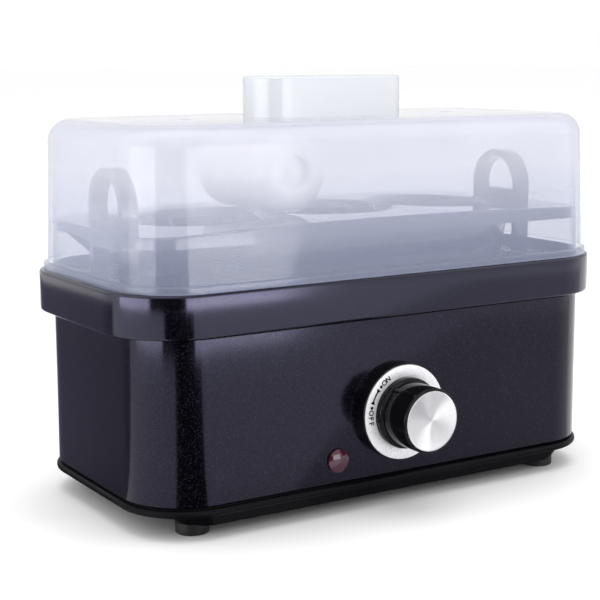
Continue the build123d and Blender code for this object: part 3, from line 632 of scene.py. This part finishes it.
def make_lid():
    lip = grown(lid, lip_reach)
    lip_high = band_high + lip_height
    rings = [(lip, band_high)]
    rings += [(grown(lip, -inset), lip_high - drop) for inset, drop in quarter(lip_edge)]
    rings.append((lid_outline(0, lip_high), lip_high))
    for inset, drop in quarter(lid_rounding, lid_steps):
        rings.append((lid_outline(inset, lid_high - drop), lid_high - drop))
    inside_high = lid_high - lid_wall
    inside = []
    for inset, drop in quarter(lid_rounding - lid_wall, lid_steps):
        height = inside_high - drop
        inside.append((lid_outline(lid_wall + inset, height), height))
    shell = lofted_cup("lid_cover", rings, inside, (grown(lid, -lid_wall), band_high))
    low = inside_high - drill_over
    high = lid_high + drill_over
    cut_round_holes(shell, vent_x, vent_radius, low, high)
    cut_round_holes(shell, peg_x, peg_radius, low, high)
    finish_form(shell, 30)
    settle(shell, "lid", "lid_frosted", "lid_shell")
    pass_light(shell)


def make_grip():
    outline = (grip_half, grip_radius, grip_radius)
    rings = [(outline, lid_high)]
    rings += [(grown(outline, -inset), grip_high - drop) for inset, drop in quarter(grip_edge)]
    inner = grown(outline, -grip_wall)
    inside_high = grip_high - grip_wall
    inside = [(inner, inside_high)]
    grip = lofted_cup("lid_grip", rings, inside, (inner, lid_high))
    settle(grip, "lid", "grip_white", "lid_handle")
    pass_light(grip)


# Dial, knob and indicator


def make_knob():
    length = knob_back - knob_front
    seat = length - cap_seat
    hollow = cap_radius + cap_play
    profile = [(knob_hole, 0), (skirt_radius, 0)]
    profile += [(skirt_radius - inset, skirt_height - drop) for inset, drop in quarter(skirt_edge)]
    profile.append((knob_radius + skirt_groove, skirt_height))
    profile.append((knob_radius, skirt_height + skirt_groove))
    profile += [(knob_radius - inset, length - drop) for inset, drop in quarter(knob_edge)]
    profile += [(hollow, length), (hollow, seat), (knob_hole, seat)]
    knob = turned("knob_grip", profile, (0, knob_back, axis_z))
    add_pointer(knob, length)
    settle(knob, "knob", "knob_black", "knob")


def add_pointer(knob, length):
    """A narrow rib along the knob's side, with rounded edges."""
    leave_edit_mode()
    bpy.context.view_layer.objects.active = knob
    knob.select_set(True)
    bpy.ops.object.mode_set(mode="EDIT")
    bpy.ops.mesh.select_all(action="DESELECT")
    bpy.ops.mesh.primitive_cube_add(size=1, location=(0, 0, 0))
    rib = (pointer_depth, length - pointer_short, pointer_width)
    bpy.ops.transform.resize(value=rib, center_override=(0, 0, 0))
    bpy.ops.mesh.bevel(offset=pointer_edge, segments=3, affect="EDGES")
    reach = knob_radius - pointer_sink
    angle = math.radians(pointer_angle)
    bpy.ops.transform.translate(value=(reach, 0, 0))
    bpy.ops.transform.rotate(value=angle, orient_axis="Y", center_override=(0, 0, 0))
    bpy.ops.transform.translate(value=(0, (knob_back + knob_front) / 2, axis_z))
    finish_form(knob, 40)


def make_cap():
    """A thin cap, with a narrow rim and a shallow dish."""
    profile = [(cap_radius, 0)]
    profile += [(cap_radius - inset, cap_thick - drop) for inset, drop in quarter(cap_edge, cap_steps)]
    profile.append((cap_radius - cap_rim, cap_thick - cap_rim_drop))
    profile.append((cap_centre, cap_thick - cap_dish))
    cap = turned("knob_face", profile, (0, cap_front + cap_thick, axis_z), angle=50)
    settle(cap, "knob", "cap_silver", "knob_cap")


def make_dial():
    thickness = dial_y - ring_y
    edge = quarter(ring_edge, ring_steps)
    profile = [(ring_inner, 0), (ring_outer, 0)]
    profile += [(ring_outer - inset, thickness - drop) for inset, drop in edge]
    profile += [(ring_inner + inset, thickness - drop) for inset, drop in reversed(edge)]
    ring = turned("dial_scale", profile, (0, dial_y, axis_z), closed=True)
    settle(ring, "housing", "ring_silver", "dial_ring")


def make_lens():
    """A short rim with a flat dome, a cap of a large sphere."""
    sphere = (lens_radius**2 + lens_dome**2) / (2 * lens_dome)
    profile = [(lens_radius, 0), (lens_radius, lens_rim)]
    for step in range(1, lens_steps):
        radius = lens_radius * (1 - step / lens_steps)
        profile.append((radius, lens_rim + lens_dome - sphere + math.sqrt(sphere**2 - radius**2)))
    lens = turned("indicator_dome", profile, lens_place, angle=50)
    settle(lens, "housing", "lens_maroon", "indicator_lens")


make_housing_sleeve()
make_rim_band()
make_lid()
make_grip()
make_knob()
make_cap()
make_dial()
make_lens()

smooth_copy("base_plate", "housing", "base_black")
for side in ("front_left", "front_right", "rear_left", "rear_right"):
    smooth_copy("foot_" + side, "housing", "foot_rubber")
smooth_copy("dial_base", "housing", "dial_black")
smooth_copy("cord_gland", "housing", "gland_black")
smooth_copy("heating_pan", "housing", "pan_steel")
smooth_copy("egg_tray", "tray", "tray_black")
smooth_copy("tray_handle_left", "tray", "tray_black")
smooth_copy("tray_handle_right", "tray", "tray_black")
pass_light(smooth_copy("measuring_cup", "cup", "cup_white"))
smooth_copy("pricking_pin", "cup", "steel")
smooth_copy("lid_screws", "lid", "grip_white")

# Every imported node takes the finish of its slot
for entry in frame["record"]["subparts"]:
    paint(nodes[entry["node"]], finishes[entry["material_slot"]])


# Marks of the dial


def mark_place(radius, angle):
    """A point on the dial's face, with the angle counted from the right, counterclockwise."""
    turn = math.radians(angle)
    return Vector((radius * math.cos(turn), ring_y, axis_z + radius * math.sin(turn)))


def place_mark(mark, turn, radius, angle):
    """Turns a flat mark in its own plane and sets it on the dial's face."""
    bpy.ops.object.mode_set(mode="EDIT")
    bpy.ops.mesh.select_all(action="SELECT")
    bpy.ops.transform.rotate(value=-math.radians(turn), orient_axis="Z", center_override=(0, 0, 0))
    face_front()
    bpy.ops.transform.translate(value=mark_place(radius, angle))
    bpy.ops.object.mode_set(mode="OBJECT")
    return mark


def letter_mark(letter, angle, turn):
    """One letter of a word that follows the dial's edge."""
    leave_edit_mode()
    bpy.ops.object.text_add()
    mark = bpy.context.object
    mark.data.body = letter
    mark.data.align_x = "CENTER"
    mark.data.align_y = "CENTER"
    mark.data.size = letter_size
    mark.data.offset = letter_weight
    mark.data.extrude = mark_rise
    bpy.ops.object.convert(target="MESH")
    return place_mark(mark, turn, mark_radius, angle)


def flat_mark(angle, sides, radius, stretch=(1, 1, 1), turn=0):
    """A dot, a dash or an arrow head, after the number of its sides."""
    leave_edit_mode()
    bpy.ops.mesh.primitive_cylinder_add(vertices=sides, radius=radius, depth=2 * mark_rise)
    mark = bpy.context.object
    bpy.ops.object.mode_set(mode="EDIT")
    bpy.ops.mesh.select_all(action="SELECT")
    bpy.ops.transform.rotate(value=math.pi / sides, orient_axis="Z", center_override=(0, 0, 0))
    bpy.ops.transform.resize(value=stretch, center_override=(0, 0, 0))
    return place_mark(mark, angle - 90 + turn, mark_radius, angle)


def make_marks():
    marks = [flat_mark(angle, dot_sides, dot_radius) for angle in (on_angle, off_angle)]
    for index, letter in enumerate("ON"):
        angle = on_angle - letter_start - index * letter_step
        marks.append(letter_mark(letter, angle, angle - 90))
    for index, letter in enumerate("OFF"):
        angle = off_angle + letter_start + index * letter_step
        marks.append(letter_mark(letter, angle, angle + 90))
    middle = (on_angle + off_angle) / 2
    for step in range(-arrow_dashes, arrow_dashes + 1):
        angle = middle + step * arrow_step
        marks.append(flat_mark(angle, 4, arrow_width, (dash_stretch, 1, 1)))
    for side in (-1, 1):
        angle = middle + side * (arrow_dashes + 1) * arrow_step
        marks.append(flat_mark(angle, 3, arrow_head, turn=90 * side))
    leave_edit_mode()
    for mark in marks:
        mark.select_set(True)
    bpy.context.view_layer.objects.active = marks[0]
    bpy.ops.object.join()
    joined = bpy.context.object
    joined.name = "dial_marks"
    settle(joined, "housing", "dial_black")


make_marks()


# Studio, with the camera where it stood for the photograph

camera_place = (-0.301075, -0.459103, 0.164055)
camera_yaw = 0.556
camera_pitch = -0.168
camera_roll = -0.005
camera_lens = 85.5
camera_sensor = 36
light_target = (0, 0, 0.06)
floor_size = 40

# Cards that show in reflections. An angle pair is a card's direction from the near corner, in degrees
# from the front towards the left, and half of the angle that it covers.
card_height = 0.0005
panel_distance = 2.3
panel_height = 0.8
dark_near_angles = (18, 21)
dark_far_angles = (33, 26)
grey_left_angles = (151, 29)
grey_right_angles = (-64, 20)
bright_front_angles = (-12, 18.5)
bright_left_angles = (84, 24)
black = (0.002, 0.002, 0.002)
dark_grey = (0.15, 0.145, 0.20)
light_grey = (0.6, 0.6, 0.62)
white = (1, 1, 1)


def make_floor():
    leave_edit_mode()
    bpy.ops.mesh.primitive_plane_add(size=floor_size, location=(0, 0, 0))
    floor = bpy.context.object
    floor.name = "studio_floor"
    finish, tree, shader = start_material("studio_floor", (0.99, 0.99, 0.99), 0.6)
    shader.inputs["Specular IOR Level"].default_value = 0.2
    paint(floor, finish)


def soft_light(name, place, width, height, power):
    """A soft box that faces the object."""
    light = bpy.data.lights.new(name, "AREA")
    light.shape = "RECTANGLE"
    light.size = width
    light.size_y = height
    light.energy = power
    lamp = bpy.data.objects.new(name, light)
    bpy.context.scene.collection.objects.link(lamp)
    towards = Vector(light_target) - Vector(place)
    lamp.matrix_world = Matrix.Translation(place) @ towards.to_track_quat("-Z", "Y").to_matrix().to_4x4()
    lamp.visible_camera = False


def only_reflected(card):
    card.visible_camera = False
    card.visible_diffuse = False
    card.visible_shadow = False
    card.visible_transmission = False


def finish_card(card, direction, colour, glow):
    """Turns a card about the near corner, and makes it dark or glowing."""
    corner = (body[2] - body[0], middle_y + body[2] - body[1], card_height)
    bpy.ops.transform.rotate(value=math.radians(direction), orient_axis="Z", center_override=(0, 0, 0))
    bpy.ops.transform.translate(value=corner)
    bpy.ops.object.mode_set(mode="OBJECT")
    finish, tree, shader = start_material(card.name, colour, 1.0)
    shader.inputs["Specular IOR Level"].default_value = 0.0
    shader.inputs["Emission Color"].default_value = (*colour, 1)
    shader.inputs["Emission Strength"].default_value = glow
    paint(card, finish)
    only_reflected(card)


def new_card(name):
    leave_edit_mode()
    bpy.ops.mesh.primitive_plane_add(size=1)
    card = bpy.context.object
    card.name = name
    return card


def floor_card(name, angles, near, far, colour, glow=0.0):
    """A wedge on the floor in front of the near corner, from a near to a far distance."""
    direction, half_angle = angles
    card = new_card(name)
    width = 2 * math.tan(math.radians(half_angle))
    far_end = [vertex.index for vertex in card.data.vertices if vertex.co.y < 0]
    select_edges(card, lambda first, second: first in far_end and second in far_end)
    bpy.ops.transform.resize(value=(far / near, 1, 1), center_override=(0, 0, 0))
    bpy.ops.mesh.select_all(action="SELECT")
    bpy.ops.transform.resize(value=(near * width, far - near, 1), center_override=(0, 0, 0))
    bpy.ops.transform.translate(value=(0, -(near + far) / 2, 0))
    finish_card(card, direction, colour, glow)


def upright_card(name, angles, colour, glow=0.0):
    """A panel that stands on the floor, facing the near corner."""
    direction, half_angle = angles
    card = new_card(name)
    width = 2 * panel_distance * math.tan(math.radians(half_angle))
    bpy.ops.object.mode_set(mode="EDIT")
    bpy.ops.mesh.select_all(action="SELECT")
    face_front()
    bpy.ops.transform.resize(value=(width, 1, panel_height), center_override=(0, 0, 0))
    bpy.ops.transform.translate(value=(0, -panel_distance, panel_height / 2))
    finish_card(card, direction, colour, glow)


def make_world():
    world = bpy.data.worlds.new("studio")
    bpy.context.scene.world = world
    world.use_nodes = True
    back = world.node_tree.nodes["Background"]
    back.inputs["Color"].default_value = (1, 1, 1, 1)
    back.inputs["Strength"].default_value = 1.0


def make_camera():
    level = math.cos(camera_pitch)
    forward = Vector((math.sin(camera_yaw) * level, math.cos(camera_yaw) * level, math.sin(camera_pitch)))
    right = Vector((math.cos(camera_yaw), -math.sin(camera_yaw), 0))
    up = right.cross(forward)
    rolled_right = math.cos(camera_roll) * right + math.sin(camera_roll) * up
    rolled_up = math.cos(camera_roll) * up - math.sin(camera_roll) * right
    turn = Matrix((rolled_right, rolled_up, -forward)).transposed().to_4x4()
    data = bpy.data.cameras.new("photo_camera")
    data.lens = camera_lens
    data.sensor_width = camera_sensor
    camera = bpy.data.objects.new("photo_camera", data)
    bpy.context.scene.collection.objects.link(camera)
    camera.matrix_world = Matrix.Translation(camera_place) @ turn
    bpy.context.scene.camera = camera


make_floor()
make_world()
soft_light("softbox_left", (-0.95, 0.25, 0.45), 0.9, 1.1, 2)
soft_light("softbox_right", (0.9, -0.5, 0.6), 0.9, 0.9, 2)
soft_light("softbox_top", (0, 0.1, 2.6), 2.4, 2.4, 28)
floor_card("dark_card_near", dark_near_angles, 0.01, 0.62, black)
floor_card("dark_card_far", dark_far_angles, 0.63, panel_distance, black)
floor_card("grey_card_left", grey_left_angles, 0.01, 0.7, dark_grey)
floor_card("grey_card_right", grey_right_angles, 0.05, 0.8, light_grey)
floor_card("bright_card_front", bright_front_angles, 0.7, panel_distance, white, 7.0)
floor_card("bright_card_left", bright_left_angles, 0.7, panel_distance, white, 5.0)
upright_card("dark_panel", dark_far_angles, black)
upright_card("bright_panel_front", bright_front_angles, white, 2.6)
upright_card("bright_panel_left", bright_left_angles, white, 3.3)
make_camera()
bpy.context.scene.view_settings.view_transform = "Standard"
